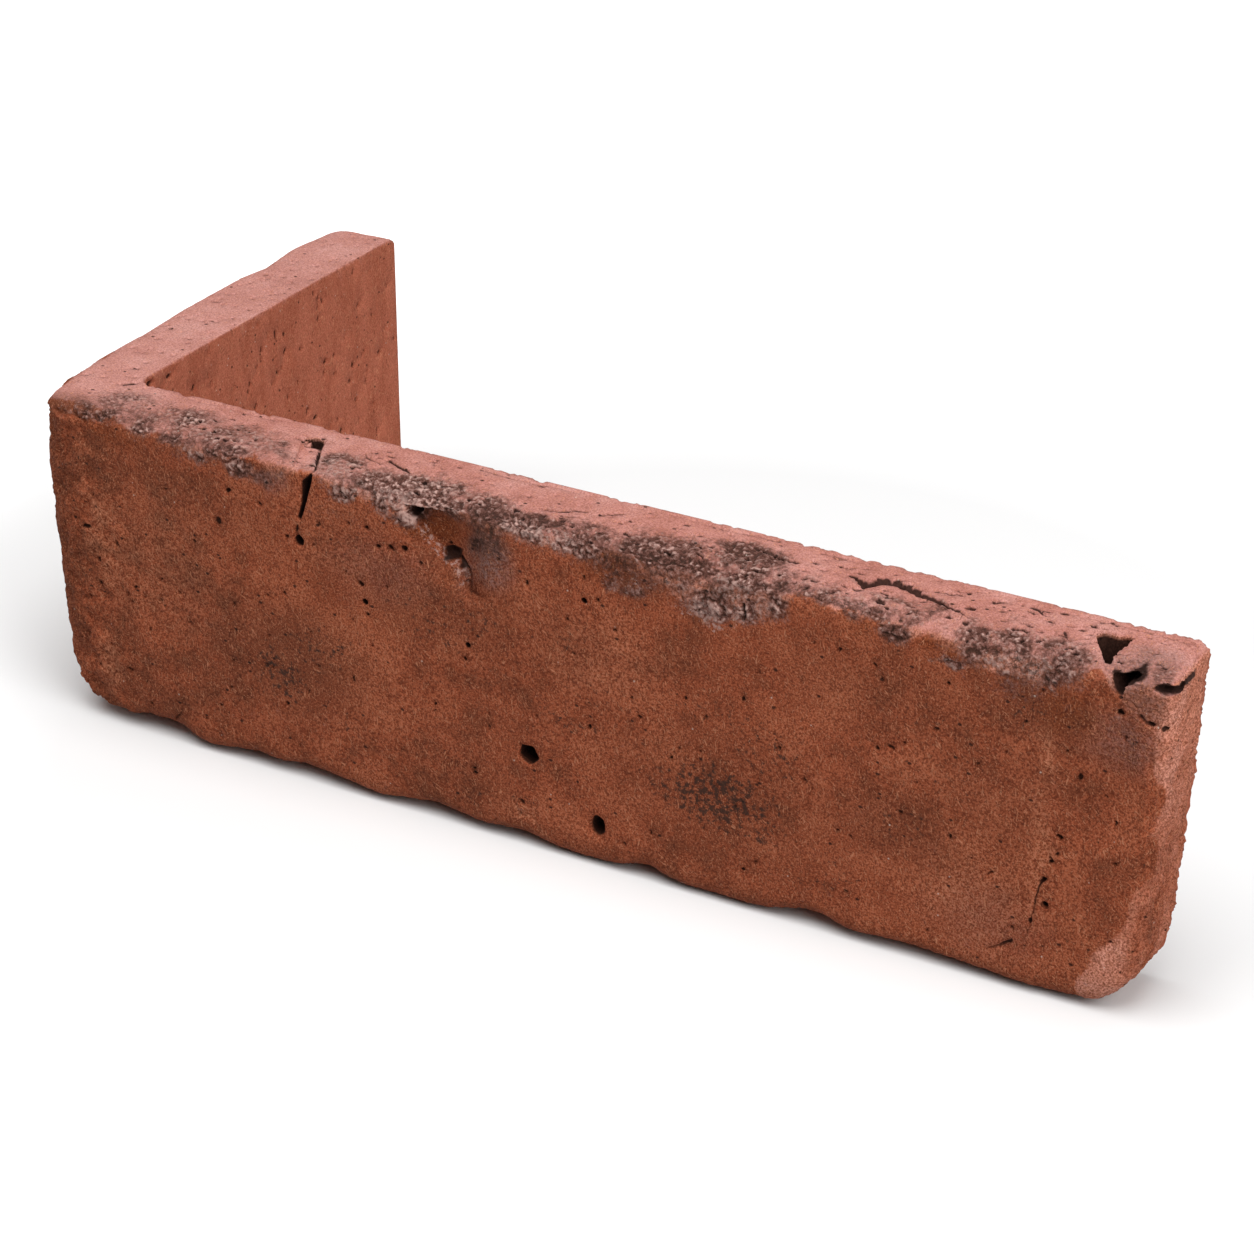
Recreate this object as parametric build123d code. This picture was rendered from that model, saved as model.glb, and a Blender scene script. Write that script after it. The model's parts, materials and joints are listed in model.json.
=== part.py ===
# Corner brick slip: one L-shaped piece of fired clay that wraps the outside corner of a wall.
# The whole brick is drafted and rounded first, then the core is sawn away to leave a stretcher
# face and a header return, and last come the worn arrises, spalls, clefts and blow holes.
import math
import os

from build123d import *

# Driving dimensions, in millimetres
length = 230.0  # stretcher face, from the outer corner to its free end
return_length = 104.0  # header face, from the outer corner to its free end
height = 65.0  # from the lower bed to the upper bed
thickness = 16.0  # from either outer face to its sawn back
end_draft = 3.1  # degrees that both ends of the brick lean in towards the lower bed

corner_radius = 10.0  # rounded outer corner between stretcher and header
return_end_radius = 6.0  # outer upright arris at the header's free end
foot_radius = 13.0  # round lower corner at the stretcher's free end
lower_radius = 4.2  # lower outer arris and the stretcher's free upright arris
upper_radius = 2.2  # upper outer arris
root_radius = 3.0  # inside angle between the two sawn backs

# Worn upper arris of the stretcher, station by station:
# share of the length, drop down the face, setback across the upper bed
upper_wear = (
    (-0.03, 8.0, 7.0),
    (0.02, 6.0, 6.5),
    (0.05, 3.0, 6.0),
    (0.09, 1.8, 6.5),
    (0.18, 2.6, 7.5),
    (0.24, 1.4, 6.5),
    (0.30, 1.6, 7.0),
    (0.37, 5.0, 9.5),
    (0.43, 1.6, 8.0),
    (0.52, 4.2, 8.0),
    (0.565, 1.6, 6.5),
    (0.64, 7.4, 8.5),
    (0.715, 1.4, 7.5),
    (0.80, 3.4, 8.5),
    (0.86, 6.0, 9.0),
    (0.94, 3.0, 7.5),
    (1.03, 4.5, 7.0),
)
# Lower arris of the stretcher: share of the length, rise up the face, setback across the bed
lower_wear = (
    (-0.03, 15.0, 12.0),
    (0.03, 10.0, 10.0),
    (0.06, 6.4, 9.0),
    (0.087, 5.3, 9.0),
    (0.105, 6.6, 10.5),
    (0.13, 6.8, 11.0),
    (0.145, 6.0, 10.0),
    (0.16, 3.6, 8.0),
    (0.173, 2.8, 7.0),
    (0.217, 5.0, 9.0),
    (0.24, 4.0, 8.0),
    (0.263, 5.5, 9.5),
    (0.32, 3.8, 8.0),
    (0.34, 2.7, 7.0),
    (0.39, 5.4, 10.0),
    (0.435, 3.4, 8.0),
    (0.475, 4.5, 9.0),
    (0.517, 1.9, 6.5),
    (0.55, 2.0, 6.5),
    (0.583, 5.2, 10.0),
    (0.617, 2.2, 7.0),
    (0.683, 2.2, 7.0),
    (0.717, 5.5, 10.5),
    (0.735, 5.4, 10.5),
    (0.757, 3.2, 8.0),
    (0.81, 4.2, 9.0),
    (0.90, 2.6, 7.5),
    (0.95, 3.6, 8.5),
    (1.03, 5.0, 10.0),
)
# Upper arris of the header: share of the return length, drop, setback
header_upper_wear = (
    (-0.06, 10.0, 9.0),
    (0.05, 7.5, 7.5),
    (0.15, 3.2, 4.4),
    (0.36, 3.8, 4.6),
    (0.50, 2.0, 3.0),
    (0.66, 1.6, 2.6),
    (0.75, 3.8, 4.8),
    (0.86, 1.8, 3.0),
    (1.05, 6.5, 7.0),
)
# Lower arris of the header: share of the return length, rise, setback
header_lower_wear = (
    (-0.06, 20.0, 14.0),
    (0.06, 17.0, 12.5),
    (0.15, 10.0, 10.0),
    (0.25, 5.4, 9.0),
    (0.45, 3.0, 7.0),
    (0.70, 5.0, 9.0),
    (1.05, 3.4, 7.5),
)
# How a worn section curves, as shares of its setback and of its drop or rise:
# the upper arris is rounded over, the lower arris is undercut behind a lip
upper_curve = ((0.62, 0.06), (0.30, 0.22), (0.10, 0.52))
lower_curve = ((0.45, 0.30), (0.16, 0.55), (0.04, 0.80))

# Spalls out of the stretcher face: share of the length, share of the height, width, depth
face_spalls = (
    (0.403, 0.87, 17.0, 1.6),
    (0.149, 0.46, 22.0, 0.8),
    (0.951, 0.62, 20.0, 1.0),
)
# Blow holes in the stretcher face: share of the length, share of the height, width, tallness,
# turn in degrees, depth
face_holes = (
    (0.4796, 0.291, 4.4, 4.2, 62.0, 6.5),
    (0.5405, 0.124, 3.2, 5.0, 40.0, 6.0),
    (0.2723, 0.766, 2.4, 2.6, 25.0, 5.0),
    (0.4067, 0.829, 3.4, 1.9, 15.0, 4.5),
    (0.5302, 0.806, 1.4, 1.3, 0.0, 2.5),
    (0.4266, 0.580, 1.3, 1.2, 30.0, 2.5),
    (0.3320, 0.628, 1.4, 1.3, 10.0, 2.5),
    (0.9130, 0.275, 1.2, 1.4, 50.0, 2.5),
)
hole_sides = 5  # a blow hole is a ragged five-sided pocket
hole_floor = 0.7  # its floor, as a share of its mouth

# Firing crack down the stretcher face, hung from the upper arris at one place along the face:
# corners across and below the bed, then how far it runs into the body
crack_place = 0.2803  # as a share of the length
crack_outline = (
    (-0.7, -3.0),
    (1.7, -0.8),
    (1.5, -2.6),
    (0.3, -6.5),
    (-1.0, -10.3),
    (-2.4, -13.2),
    (-1.9, -10.6),
    (-1.1, -7.8),
)
crack_depth = 9.0
# Sunk strip that carries the crack back across the upper bed, and the pocket at its back end
strip_width = 4.2
strip_length = 11.0  # from the face
strip_sink = 1.1  # below the upper bed
strip_slant = 25.0  # degrees that it leans towards the corner as it runs back
pocket_outline = ((-8.0, 9.4), (-7.0, 10.2), (-6.0, 11.2), (-4.5, 12.0), (-3.1, 11.3), (-2.9, 9.4), (-5.3, 10.1))
pocket_depth = 6.0

# Broken upper corner at the stretcher's free end, all measured from that end: a pit in the bed,
# a cleft in the face below it, and an open seam under the flake that is left at the corner
pit_outline = (
    (-17.7, 9.3),
    (-17.2, 11.2),
    (-14.4, 10.9),
    (-11.8, 12.3),
    (-12.2, 7.8),
    (-12.7, 4.6),
    (-12.2, 2.4),
    (-13.2, 2.5),
    (-15.8, 6.2),
)
pit_depth = 9.0
split_outline = (
    (-11.3, -1.2),
    (-9.6, -1.5),
    (-7.1, -0.4),
    (-6.2, -0.9),
    (-7.8, -2.5),
    (-8.8, -2.7),
    (-9.3, -4.8),
    (-8.3, -6.9),
    (-10.7, -4.1),
)
split_depth = 7.0
seam_outline = ((-5.0, -2.4), (-3.6, -1.7), (-0.5, -2.0), (3.0, -1.6), (3.0, -3.5), (-0.5, -3.5), (-3.2, -2.8))
seam_depth = 5.0

cleft_floor = 0.45  # a cleft's size at its deepest, as a share of its mouth
clear = 3.0  # how far a cut runs out past the brick
lean_in = height * math.tan(math.radians(end_draft))  # how far each end leans in at the lower bed


def whole_brick():
    # Drafted block with its outer arrises rounded, before sawing.
    middle = Pos(length / 2, return_length / 2)
    lower = middle * Rectangle(length - 2 * lean_in, return_length)
    upper = Pos(0, 0, height) * middle * Rectangle(length, return_length)
    brick = loft([lower.face(), upper.face()], ruled=True)
    front_corner = upright_edges(brick).sort_by(Axis.X)[:2].sort_by(Axis.Y)[0]
    brick = fillet(front_corner, corner_radius)
    back_corner = upright_edges(brick).sort_by(Axis.X)[:3].sort_by(Axis.Y)[-1]
    brick = fillet(back_corner, return_end_radius)
    foot = brick.edges().group_by(Axis.Z)[0].sort_by(Axis.X)[-1]
    brick = fillet(foot, foot_radius)
    bed_rim = brick.faces().sort_by(Axis.Z)[0].edges().sort_by(Axis.X)[:-1]
    face_rim = brick.faces().sort_by(Axis.Y)[0].edges().sort_by(Axis.X)[-2:]
    brick = fillet(bed_rim + face_rim, lower_radius)
    return fillet(brick.faces().sort_by(Axis.Z)[-1].edges(), upper_radius)


def upright_edges(solid):
    return solid.edges().filter_by(lambda edge: abs(edge.center().Z - height / 2) < height / 4)


def sawn_core():
    # What the saw takes out: everything behind the two faces, with a rounded inside angle.
    wide = length - thickness + clear
    deep = return_length - thickness + clear
    core = Pos(thickness + wide / 2, thickness + deep / 2) * Rectangle(wide, deep)
    root = core.vertices().sort_by(lambda corner: corner.X + corner.Y)[0]
    core = fillet(root, root_radius)
    return extrude(Pos(0, 0, -clear) * core, height + 2 * clear)


def worn_section(plane, drop, setback, curve):
    # Cut across an arris: x runs in across the bed, y runs along the face away from the bed.
    turns = [(setback * across, drop * down) for across, down in curve]
    first_x, first_y = turns[0]
    last_x, last_y = turns[-1]
    bed_slope = first_y / (setback - first_x)
    face_slope = last_x / (drop - last_y)
    past_bed = -clear * (1 + bed_slope)
    outline = Polyline(
        (setback + clear, -clear * bed_slope),
        *turns,
        (-clear, drop + clear / face_slope),
        (-clear, past_bed),
        (setback + clear, past_bed),
        close=True,
    )
    return (plane * make_face(outline)).face()


def worn_arris(start, along, inward, across, run, stations, curve):
    # Cutter that follows an arris: one section for each station, joined by straight runs.
    normal = Vector(inward).cross(Vector(across))
    sections = []
    for share, drop, setback in stations:
        origin = Vector(start) + Vector(along) * (run * share)
        plane = Plane(origin, x_dir=inward, z_dir=normal)
        sections.append(worn_section(plane, drop, setback, curve))
    return loft(sections, ruled=True)


def worn_arrises():
    # The two upper and two lower arrises of the stretcher and the header.
    right, back, up, down = (1, 0, 0), (0, 1, 0), (0, 0, 1), (0, 0, -1)
    upper_corner = (0, 0, height)
    lower_corner = (lean_in, 0, 0)
    return [
        worn_arris(upper_corner, right, back, down, length, upper_wear, upper_curve),
        worn_arris((0, 0, 0), right, back, up, length, lower_wear, lower_curve),
        worn_arris(upper_corner, back, right, down, return_length, header_upper_wear, upper_curve),
        worn_arris(lower_corner, back, right, up, return_length, header_lower_wear, lower_curve),
    ]


def spall(share_along, share_up, width, depth):
    # Shallow scoop out of the stretcher face: a large ball that bites in by the depth.
    radius = (width**2 / 4 + depth**2) / (2 * depth)
    return Pos(length * share_along, depth - radius, height * share_up) * Sphere(radius)


def cavity(surface, outline, depth, floor):
    # Hollow in from a surface: its mouth has the outline, and its floor is a smaller copy of it.
    corners = [Vector(*corner) for corner in outline]
    middle = sum(corners, Vector()) / len(corners)
    shrunk = [middle + (corner - middle) * floor for corner in corners]
    mouth = (surface * make_face(Polyline(*corners, close=True))).face()
    bottom = (surface.offset(-depth) * make_face(Polyline(*shrunk, close=True))).face()
    return loft([bottom, mouth], ruled=True) + extrude(mouth, clear)


def face_at(along, up):
    # The stretcher face with its origin at one place: x runs along the face, y runs up.
    return Plane((along, 0, up), x_dir=(1, 0, 0), z_dir=(0, -1, 0))


def bed_at(along):
    # The upper bed with its origin on the stretcher face: x runs along the face, y runs back.
    return Plane((along, 0, height))


def blow_hole(share_along, share_up, width, tallness, turn, depth):
    # Ragged pocket into the stretcher face, widest at its mouth.
    outline = []
    for side in range(hole_sides):
        angle = math.radians(turn + side * 360 / hole_sides)
        outline.append((width / 2 * math.cos(angle), tallness / 2 * math.sin(angle)))
    return cavity(face_at(length * share_along, height * share_up), outline, depth, hole_floor)


def sunk_strip():
    # Shallow trough across the upper bed, from the crack in the face back to the pocket.
    trough = Box(strip_width, strip_length + clear, 2 * strip_sink)
    return bed_at(length * crack_place) * Rot(0, 0, strip_slant) * Pos(0, (strip_length - clear) / 2) * trough


def clefts():
    # The firing crack and the broken corner.
    crack = length * crack_place
    return [
        cavity(face_at(crack, height), crack_outline, crack_depth, cleft_floor),
        sunk_strip(),
        cavity(bed_at(crack), pocket_outline, pocket_depth, cleft_floor),
        cavity(bed_at(length), pit_outline, pit_depth, cleft_floor),
        cavity(face_at(length, height), split_outline, split_depth, cleft_floor),
        cavity(face_at(length, height), seam_outline, seam_depth, cleft_floor),
    ]


def corner_slip():
    # The sawn brick with all its wear, standing on its lower bed about the middle of its outline.
    cuts = [sawn_core()] + worn_arrises()
    cuts += [spall(*place) for place in face_spalls]
    cuts += [blow_hole(*place) for place in face_holes]
    cuts += clefts()
    slip = whole_brick()
    for cut in cuts:
        slip = slip - cut
    box = slip.bounding_box()
    slip = Pos(-box.center().X, -box.center().Y, -box.min.Z) * slip
    slip.label = "corner_slip"
    return slip


os.makedirs("parts", exist_ok=True)
export_step(corner_slip(), "parts/corner_slip.step")
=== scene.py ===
import json
import math

import bpy
import numpy as np
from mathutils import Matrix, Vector, noise
from mathutils.bvhtree import BVHTree


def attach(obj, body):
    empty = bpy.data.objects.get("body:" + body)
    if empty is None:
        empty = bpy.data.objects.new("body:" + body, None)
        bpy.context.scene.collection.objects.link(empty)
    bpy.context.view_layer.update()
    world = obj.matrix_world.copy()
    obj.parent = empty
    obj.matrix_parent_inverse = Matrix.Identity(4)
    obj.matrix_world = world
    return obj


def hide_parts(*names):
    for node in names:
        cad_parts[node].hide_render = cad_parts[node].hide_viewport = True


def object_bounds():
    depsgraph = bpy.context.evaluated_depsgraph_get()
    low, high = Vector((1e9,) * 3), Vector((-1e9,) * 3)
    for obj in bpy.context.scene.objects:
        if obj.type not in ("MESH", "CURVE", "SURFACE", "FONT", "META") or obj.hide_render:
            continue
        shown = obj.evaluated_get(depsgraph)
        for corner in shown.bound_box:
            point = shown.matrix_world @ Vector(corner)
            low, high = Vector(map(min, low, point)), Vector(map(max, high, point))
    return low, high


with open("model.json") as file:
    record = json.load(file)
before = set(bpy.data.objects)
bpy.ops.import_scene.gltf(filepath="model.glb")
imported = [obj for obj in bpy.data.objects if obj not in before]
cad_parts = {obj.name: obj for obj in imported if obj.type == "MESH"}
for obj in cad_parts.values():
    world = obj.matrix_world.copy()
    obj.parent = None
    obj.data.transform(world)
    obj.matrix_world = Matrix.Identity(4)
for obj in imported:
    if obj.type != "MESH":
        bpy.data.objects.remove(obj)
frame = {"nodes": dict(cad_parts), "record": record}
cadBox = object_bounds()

mm = 0.001
print("frame loaded:", sorted(frame["nodes"]))

# Everything on the brick is placed in millimetres from its lower outer corner:
# x along the stretcher face, y back into the wall, z up from the lower bed.
backFace = {mount["name"]: mount["pos_m"] for mount in frame["record"]["mounts"]}["stretcher_back"]
brick = {
    "length": (cadBox[1].x - cadBox[0].x) / mm,
    "returnLength": (cadBox[1].y - cadBox[0].y) / mm,
    "height": (cadBox[1].z - cadBox[0].z) / mm,
    "thickness": (backFace[1] - cadBox[0].y) / mm,
    "leanIn": 3.52,  # both ends lean in by this much at the lower bed
}
boxSize = np.array([brick["length"], brick["returnLength"], brick["height"]])


def smooth(low, high, value):
    # 0 below low, 1 above high and an easy curve between; low may be the larger one
    share = np.clip((value - low) / (high - low), 0, 1)
    return share * share * (3 - 2 * share)


def fractal(points, size, octaves, seed):
    shift = Vector((3.7 * seed, 1.3 * seed, 7.1 * seed))
    return np.array([noise.fractal(Vector(p) + shift, 1.0, 2.0, octaves) for p in (points / size).tolist()])


# Blank: the CAD slip as an even skin of small quads, ready to be weathered

blank = {
    "voxel": 0.28,  # mm
    "triangles": 194000,  # what is kept after the wear is in
    "normalRounds": 14,
    "arrisRounds": 40,
}


def evenSkin(node):
    slip = bpy.data.objects.new("weathered_slip", node.data.copy())
    bpy.context.scene.collection.objects.link(slip)
    voxels = slip.modifiers.new("voxels", "REMESH")
    voxels.mode = "VOXEL"
    voxels.voxel_size = blank["voxel"] * mm
    graph = bpy.context.evaluated_depsgraph_get()
    slip.data = bpy.data.meshes.new_from_object(slip.evaluated_get(graph))
    slip.modifiers.clear()
    return slip


def readPoints(mesh):
    points = np.zeros(len(mesh.vertices) * 3)
    normals = np.zeros(len(mesh.vertices) * 3)
    mesh.vertices.foreach_get("co", points)
    mesh.vertices.foreach_get("normal", normals)
    return (points.reshape(-1, 3) - np.array(cadBox[0])) / mm, normals.reshape(-1, 3)


def readEdges(mesh):
    pairs = np.zeros(len(mesh.edges) * 2, np.int64)
    mesh.edges.foreach_get("vertices", pairs)
    first, second = pairs.reshape(-1, 2).T
    return first, second, np.bincount(pairs, minlength=len(mesh.vertices))[:, None]


def soften(values, edges, rounds):
    # each point drifts towards the mean of its neighbours
    first, second, count = edges
    for _ in range(rounds):
        total = np.zeros_like(values)
        for axis in range(3):
            total[:, axis] = np.bincount(first, values[second, axis], len(values))
            total[:, axis] += np.bincount(second, values[first, axis], len(values))
        values = 0.5 * values + 0.5 * total / count
    return values


slip = evenSkin(frame["nodes"]["corner_slip"])
points, normals = readPoints(slip.data)
edges = readEdges(slip.data)
print("blank:", len(points), "points")

# Where each point lies: how far in from each face

x, y, z = points.T
lean = brick["leanIn"] * (1 - z / brick["height"])
fromOuter = np.minimum(y, x - lean)  # from the stretcher face or the header face
fromTop = brick["height"] - z
fromEnd = brick["length"] - lean - x  # from the stretcher's free end
fromBack = np.where(x > y, brick["thickness"] - y, brick["thickness"] - x)  # from the sawn backs
onStretcher = x > y

# Place along the upper arris: x on the stretcher, below zero along the header
turn = 2 * brick["thickness"]
along = np.where(
    onStretcher,
    x - y * np.clip((turn - x) / brick["thickness"], 0, 1),
    -y + x * np.clip((turn - y) / brick["thickness"], 0, 1),
)

# Clefts keep their crisp edges: the firing crack and the broken corner
nearCrack = smooth(55, 57, x) * smooth(71, 69, x) * smooth(46, 48, z)
nearBreak = smooth(209, 212, x) * smooth(52, 56, z)
crisp = np.maximum(nearCrack, nearBreak)

# Other arrises are rubbed round
sharpNormals = normals
normals = soften(normals, edges, blank["normalRounds"])
normals /= np.linalg.norm(normals, axis=1)[:, None]
rubbed = (1 - crisp) * smooth(4, 7, fromBack) * np.maximum(smooth(50, 58, z), smooth(14, 8, z))
points = points + rubbed[:, None] * (soften(points, edges, blank["arrisRounds"]) - points)
print("arrises rubbed round")

# Upper arris, from the header's end to the stretcher's end:
# place, drop of the skin's edge, setback on the bed
upperArris = np.array([
    (-104, 3.0, 4.0),
    (-84, 1.2, 2.4),
    (-50, 1.4, 2.4),
    (-12, 0.0, 3.0),
    (0, -2.5, 4.5),
    (10, -2.0, 4.5),
    (18, 0.5, 6.0),
    (24, 1.0, 7.5),
    (31, 1.2, 9.0),
    (41, 3.2, 9.5),
    (48, 2.4, 9.0),
    (54, 1.2, 8.0),
    (58, 3.0, 6.0),
    (62, 1.6, 5.0),
    (67, 1.0, 7.0),
    (76, 3.2, 9.0),
    (84, 5.0, 9.5),
    (91, 4.0, 9.0),
    (99, 3.0, 8.0),
    (106, 3.4, 8.0),
    (114, 3.8, 8.0),
    (121, 4.2, 7.5),
    (128, 3.0, 7.5),
    (136, 5.0, 9.0),
    (143, 8.0, 9.5),
    (149, 8.6, 9.0),
    (157, 6.0, 7.5),
    (163, 1.4, 5.5),
    (170, 1.0, 5.0),
    (177, 2.2, 6.5),
    (182, 5.0, 6.0),
    (187, 2.6, 5.5),
    (195, 5.6, 6.5),
    (203, 6.0, 7.5),
    (211, 4.2, 6.5),
    (217, 1.6, 3.0),
    (222, 7.0, 5.0),
    (230, 6.0, 5.0),
])
drop = np.interp(along, upperArris[:, 0], upperArris[:, 1])
setback = np.interp(along, upperArris[:, 0], upperArris[:, 2])

# Noise fields that break the edges up
grainBig = fractal(points, 9.0, 4, 1)
grainMid = fractal(points, 3.0, 4, 2)
grainSmall = fractal(points, 1.1, 3, 3)
swell = fractal(points, 32.0, 3, 4)
patchy = fractal(points, 6.0, 3, 6)
creases = 1.5 * np.abs(fractal(points, 1.9, 2, 5)) + 0.8 * np.abs(fractal(points, 0.85, 1, 7))
print("noise fields ready")

# Worn shoulder between the upper bed and the faces: 1 inside, 0 on the skin and on the bed
belowEdge = fromTop - drop + 1.3 * grainMid + 1.6 * grainBig
behindEdge = fromOuter - setback + 2.4 * grainBig + 1.6 * grainMid
shoulder = smooth(2.0, -2.0, np.maximum(belowEdge, behindEdge * 0.45))

# Lump that broke away at the stretcher's upper free corner, above a line across the face
lumpEdge = {"x": (214, 217.3, 219.7, 221.8, 226, 230), "z": (66.0, 63.4, 60.8, 58.4, 56.6, 55.2)}
lumpLine = np.interp(x, lumpEdge["x"], lumpEdge["z"])
lump = smooth(-0.15, 0.15, z - lumpLine + 0.3 * grainMid) * smooth(213, 215, x)


def stain(a, b, spots):
    # soft round stains: middle, half widths and strength
    total = np.zeros(len(a))
    for middleA, middleB, reachA, reachB, strength in spots:
        reach = np.hypot((a - middleA) / reachA, (b - middleB) / reachB)
        total = np.maximum(total, strength * smooth(1.3, 0.25, reach))
    return total


# Stains on the stretcher, with painted shade and a painted highlight by the hollow's ledge: x, then z up the
# face and on past 65 across the upper bed
stains = {
    "lime": [
        (20, 73, 8, 6, 0.50), (32, 72, 10, 6, 0.55), (40, 67, 6, 4, 0.65), (39.5, 61.6, 5, 1.8, 0.75),
        (50, 70, 10, 6, 0.60), (50, 62.0, 5, 1.6, 0.60), (27, 65, 5, 3, 0.45), (57, 60.5, 4, 1.5, 0.35),
        (68, 68, 5, 6, 0.75), (75, 67, 8, 5, 0.62), (73, 62, 5, 1.8, 0.80), (83, 64, 8, 5, 0.95),
        (85, 59.6, 4, 1.6, 0.65), (88, 69.5, 9, 5, 0.70), (93, 65, 6, 3, 0.85), (98, 69, 7, 4, 0.55),
        (110, 64, 9, 4, 0.95), (118, 63.5, 7, 4, 0.85), (122, 61.5, 5, 3, 0.60), (130, 57, 6, 2, 0.65),
        (140, 60, 7, 5, 0.55), (145, 56.5, 7, 4, 0.90), (152, 57.5, 6, 4, 0.70), (150, 63, 8, 5, 0.90),
        (157, 61, 5, 4, 0.60), (134, 68, 11, 5, 0.40), (149, 70, 12, 5, 0.65), (170, 65.5, 7, 3, 0.60),
        (177, 64.8, 6, 2.4, 0.55), (190.5, 58.4, 4.5, 1.1, 0.80), (199, 60.5, 6, 3, 0.90),
        (205, 61.5, 7, 5, 0.85), (209, 66, 6, 5, 0.65), (198, 67, 8, 4, 0.45), (213, 62, 4, 3, 0.40),
        (212, 44, 5, 9, 0.25), (222, 51, 5, 4, 0.35), (103, 15, 4, 6, 0.25), (109, 7, 3, 3, 0.35),
        (180, 69, 7, 5, 0.40), (222, 70, 9, 6, 0.35),
    ],
    "soot": [
        (12, 67, 7, 4, 0.52), (22, 67.5, 8, 5, 0.55), (37, 64, 6, 2.6, 0.75), (45, 65, 6, 2.6, 0.75),
        (50, 61.0, 4, 1.5, 0.65), (28, 70, 9, 5, 0.12), (44, 71, 10, 4, 0.08), (56, 60.5, 6, 2, 0.45),
        (74.5, 64.8, 6, 2.6, 1.0), (80, 62.8, 4, 2, 0.65), (88, 73, 8, 3, 0.12), (150, 74, 10, 4, 0.75),
        (94, 63, 5, 2.5, 0.80), (101.5, 66, 5, 4, 1.0), (101.5, 60, 5, 7, 0.85),
        (112, 67.5, 8, 2.2, 0.80), (119, 64.5, 6, 3, 0.80), (127, 61, 7, 4, 0.78),
        (132, 58.5, 6, 3, 0.60), (136, 66, 10, 3.5, 0.90), (137, 61.5, 7, 4, 0.75),
        (147, 61.5, 7, 4, 1.0), (154, 63, 7, 4, 0.70), (148, 70.5, 13, 4, 0.65),
        (161, 65.5, 5, 2.4, 0.70), (122, 68.5, 8, 2.4, 0.55), (172, 65, 7, 2.8, 0.80),
        (181, 61, 3.5, 2.4, 0.65), (185, 71, 4, 3, 0.70), (197, 62.5, 5, 2, 0.80),
        (205, 61, 7, 4, 0.85), (208, 65, 6, 5, 0.65), (196, 58.8, 3.5, 1.8, 0.55),
        (180, 66, 6, 2, 0.50), (148, 21, 15, 10, 0.85), (157, 18, 9, 8, 0.70), (138, 20, 8, 7, 0.65),
        (158, 32, 12, 11, 0.62), (147, 38, 11, 7, 0.50), (170, 12, 12, 7, 0.52), (183, 26, 9, 7, 0.55),
        (205, 52, 9, 7, 0.55), (187, 47, 8, 6, 0.50), (66, 29, 10, 9, 0.60), (57, 22, 11, 9, 0.75),
        (70, 15, 8, 6, 0.52), (118, 28, 12, 4, 0.60), (94, 42, 19, 11, 0.55), (40, 30, 15, 9, 0.15),
        (119, 45, 10, 6, 0.52), (190, 38, 16, 9, 0.42), (125, 34, 14, 6, 0.45), (15, 26, 6, 12, 0.42),
        (9, 50, 5, 5, 0.55), (13, 31, 4, 5, 0.50), (16, 55, 7, 6, 0.50), (109, 9, 5, 3, 0.60),
        (72, 50, 12, 8, 0.45), (98, 8, 5, 5, 0.55), (222, 53, 6, 4, 0.50),
    ],
    "scorch": [
        (4, 30, 7, 30, 0.50), (9, 49, 5, 6, 0.60), (12, 36, 4, 6, 0.45), (9, 19, 5, 8, 0.55),
        (16, 55, 8, 7, 0.65), (25, 8, 16, 6, 0.45), (200, 36, 14, 12, 0.25), (92, 45, 22, 11, 0.4),
        (118, 42, 10, 9, 0.3), (60, 25, 18, 13, 0.68), (150, 22, 24, 15, 0.3), (184, 26, 13, 9, 0.5),
        (206, 54, 13, 8, 0.5), (180, 50, 22, 9, 0.25), (45, 52, 14, 8, 0.2), (72, 50, 12, 9, 0.25),
        (10, 67, 10, 5, 0.75), (101, 60, 6, 7, 0.7), (128, 62, 8, 3.5, 0.85), (132, 58, 8, 4, 0.60),
        (137, 64.5, 9, 4, 0.9), (152, 62, 8, 4, 0.5), (190, 61.5, 5, 2.2, 0.6), (36, 63, 8, 2, 0.45),
        # the spot at x 89, z 57.4 is painted shade above the hollow's ledge
        (90, 60.5, 6, 2.0, 0.6), (100, 8, 8, 7, 0.35), (140, 3, 12, 4, 0.3), (89, 57.4, 4, 1.6, 0.9),
    ],
    "dust": [
        (18, 45, 4, 3.5, 0.8), (15.5, 39, 2.5, 4, 0.7), (30, 38, 17, 17, 0.25), (19, 34, 3, 10, 0.5),
        (17, 13, 2.5, 8, 0.5), (209, 47, 1.6, 7, 0.7), (208, 28, 2, 16, 0.5), (197, 17, 11, 10, 0.35),
        # the spot at x 92.3, z 55.5 is a painted highlight on the hollow's ledge
        (128, 42, 12, 9, 0.25), (108.5, 7, 4, 3, 0.3), (92.3, 55.5, 1.8, 0.5, 0.9),
    ],
    "rust": [
        (89, 59.0, 6, 3.0, 1.0), (91, 57, 4, 3, 0.9), (96, 51, 2.5, 2.5, 0.5),
        (124.5, 60.5, 6, 4, 0.85), (211, 55, 6, 5, 0.7), (55, 62.5, 9, 1.6, 0.5),
        (160, 62.5, 4, 2, 0.5), (189, 61, 5, 2, 0.8), (20, 62, 9, 4, 0.6), (224, 59.5, 7, 4, 0.7),
        (199, 63.6, 3, 1, 0.9), (176, 61.5, 5, 2, 0.5),
    ],
    "ash": [
        (102, 55, 6, 6, 0.8), (99, 52, 4, 3, 0.6), (222, 52, 8, 6, 0.5), (56, 60.5, 6, 2, 0.6),
        (200, 12, 12, 8, 0.2), (80, 48, 12, 7, 0.25), (223, 68, 8, 8, 0.75), (226, 59, 6, 4, 0.4),
    ],
}
unrolled = z + y * smooth(52, 60, z)
jitterX = x + 1.6 * grainBig + 1.2 * patchy
jitterZ = unrolled + 1.1 * grainMid + 1.0 * patchy
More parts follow.
